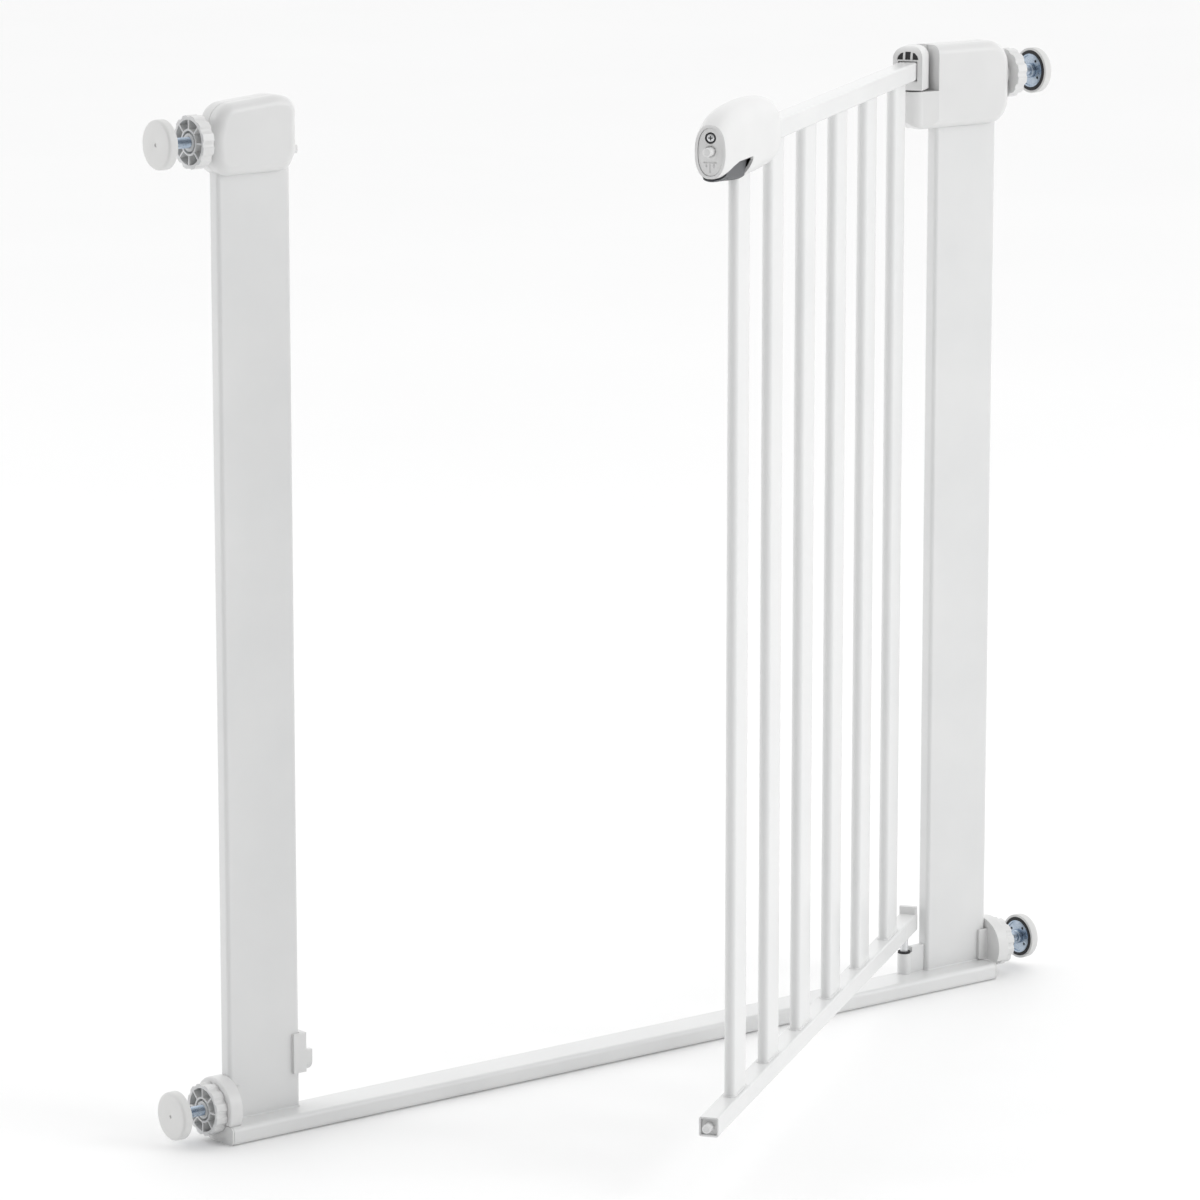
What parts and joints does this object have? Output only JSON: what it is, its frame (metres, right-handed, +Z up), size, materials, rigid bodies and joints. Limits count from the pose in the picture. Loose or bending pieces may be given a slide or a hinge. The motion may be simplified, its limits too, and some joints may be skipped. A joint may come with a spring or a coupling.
{
  "type": "pressure-fit safety gate",
  "caption": "Pressure-mounted child safety gate: two flat uprights on a base bar, a barred door that lifts and swings, a squeeze-trigger latch and screw-out wall pads.",
  "frame": {"origin": "on the floor under the base bar, midway between the two uprights, in the plane of the wall spindles", "axes": "+Z up, +X along the base bar towards the hinge upright, -Y the side that the door opens to"},
  "size_m": [0.826, 0.3657, 0.7571],
  "materials": {
    "white_coat": "gloss white powder coat",
    "white_plastic": "gloss white moulding",
    "zinc": "bright zinc plate",
    "grey_plastic": "satin dark grey",
    "black_rubber": "matt black",
    "black_plastic": "matt black",
    "pad_rubber": "matt white"
  },
  "bodies": {
    "frame": {"base_bar": "white_coat", "base_end_caps": "white_plastic", "cradle_rivets": "zinc", "hinge_housing_front": "white_plastic", "hinge_housing_rear": "white_plastic", "hinge_post": "white_coat", "housing_screws": "zinc", "latch_housing_front": "white_plastic", "latch_housing_rear": "white_plastic", "latch_keeper": "zinc", "latch_post": "white_coat", "lower_guide_left": "white_plastic", "lower_guide_right": "white_plastic", "lower_hinge_bracket": "white_coat", "lower_hinge_washer": "black_rubber", "stay_cradle": "white_plastic"},
    "hinge_swivel": {"upper_hinge_pin": "zinc", "thrust_washer": "black_rubber"},
    "door": {"top_rail": "white_coat", "cap_insert": "black_plastic", "bottom_rail": "white_coat", "hinge_cap": "white_plastic", "lower_hinge_block": "white_plastic", "lower_hinge_pin": "zinc", "rail_plug": "white_plastic", "stay_pin": "white_coat", "handle_front": "white_plastic", "handle_rear": "white_plastic", "handle_end_plate": "white_plastic", "handle_screw": "zinc", "trigger_axle": "zinc", "trigger_spring": "zinc", "door_bar_1": "white_coat", "door_bar_2": "white_coat", "door_bar_3": "white_coat", "door_bar_4": "white_coat", "door_bar_5": "white_coat", "door_bar_6": "white_coat"},
    "trigger": {"trigger": "grey_plastic"},
    "latch_bolt": {"latch_bolt": "white_plastic"},
    "spindle_top_left": {"spindle_top_left": "zinc", "pad_plate_top_left": "zinc", "pad_ring_top_left": "black_rubber", "wall_pad_top_left": "pad_rubber"},
    "hand_wheel_top_left": {"hand_wheel_top_left": "white_plastic"},
    "spindle_bottom_left": {"spindle_bottom_left": "zinc", "pad_plate_bottom_left": "zinc", "pad_ring_bottom_left": "black_rubber", "wall_pad_bottom_left": "pad_rubber"},
    "hand_wheel_bottom_left": {"hand_wheel_bottom_left": "white_plastic"},
    "spindle_top_right": {"spindle_top_right": "zinc", "pad_plate_top_right": "zinc", "pad_ring_top_right": "black_rubber", "wall_pad_top_right": "pad_rubber"},
    "hand_wheel_top_right": {"hand_wheel_top_right": "white_plastic"},
    "spindle_bottom_right": {"spindle_bottom_right": "zinc", "pad_plate_bottom_right": "zinc", "pad_ring_bottom_right": "black_rubber", "wall_pad_bottom_right": "pad_rubber"},
    "hand_wheel_bottom_right": {"hand_wheel_bottom_right": "white_plastic"}
  },
  "joints": [
    {"name": "door_swing", "type": "hinge", "parent": "frame", "child": "hinge_swivel", "pos_m": [0.2845, 0, 0], "axis": [0, 0, 1], "range_deg": [-35, 60]},
    {"name": "door_lift", "type": "slide", "parent": "hinge_swivel", "child": "door", "axis": [0, 0, 1], "range_m": [0, 0.0075]},
    {"name": "trigger_squeeze", "type": "hinge", "parent": "door", "child": "trigger", "pos_m": [-0.18405, -0.32809, 0.715], "axis": [0.5736, -0.8192, 0], "range_deg": [0, 8.02], "stiffness_Nm_per_rad": 0.3, "springref_deg": -11.46, "deforming": ["trigger_spring"]},
    {"name": "bolt_slide", "type": "slide", "parent": "door", "child": "latch_bolt", "axis": [0.8192, 0.5736, 0], "range_m": [0, 0.006]},
    {"name": "wheel_turn_top_left", "type": "hinge", "parent": "frame", "child": "hand_wheel_top_left", "pos_m": [-0.38, 0, 0.7192], "axis": [-1, 0, 0], "range_deg": [-5041, 6481]},
    {"name": "spindle_travel_top_left", "type": "slide", "parent": "frame", "child": "spindle_top_left", "axis": [-1, 0, 0], "range_m": [-0.0175, 0.0225]},
    {"name": "wheel_turn_bottom_left", "type": "hinge", "parent": "frame", "child": "hand_wheel_bottom_left", "pos_m": [-0.38, 0, 0.0235], "axis": [-1, 0, 0], "range_deg": [-5041, 6481]},
    {"name": "spindle_travel_bottom_left", "type": "slide", "parent": "frame", "child": "spindle_bottom_left", "axis": [-1, 0, 0], "range_m": [-0.0175, 0.0225]},
    {"name": "wheel_turn_top_right", "type": "hinge", "parent": "frame", "child": "hand_wheel_top_right", "pos_m": [0.38, 0, 0.7192], "axis": [1, 0, 0], "range_deg": [-5041, 6481]},
    {"name": "spindle_travel_top_right", "type": "slide", "parent": "frame", "child": "spindle_top_right", "axis": [1, 0, 0], "range_m": [-0.0175, 0.0225]},
    {"name": "wheel_turn_bottom_right", "type": "hinge", "parent": "frame", "child": "hand_wheel_bottom_right", "pos_m": [0.38, 0, 0.0235], "axis": [1, 0, 0], "range_deg": [-5041, 6481]},
    {"name": "spindle_travel_bottom_right", "type": "slide", "parent": "frame", "child": "spindle_bottom_right", "axis": [1, 0, 0], "range_m": [-0.0175, 0.0225]}
  ],
  "couplings": [
    {"joint": "trigger_squeeze", "follows": "bolt_slide", "rad_per_m": 23.271},
    {"joint": "wheel_turn_top_left", "follows": "spindle_travel_top_left", "rad_per_m": 5026.5},
    {"joint": "wheel_turn_bottom_left", "follows": "spindle_travel_bottom_left", "rad_per_m": 5026.5},
    {"joint": "wheel_turn_top_right", "follows": "spindle_travel_top_right", "rad_per_m": 5026.5},
    {"joint": "wheel_turn_bottom_right", "follows": "spindle_travel_bottom_right", "rad_per_m": 5026.5}
  ]
}
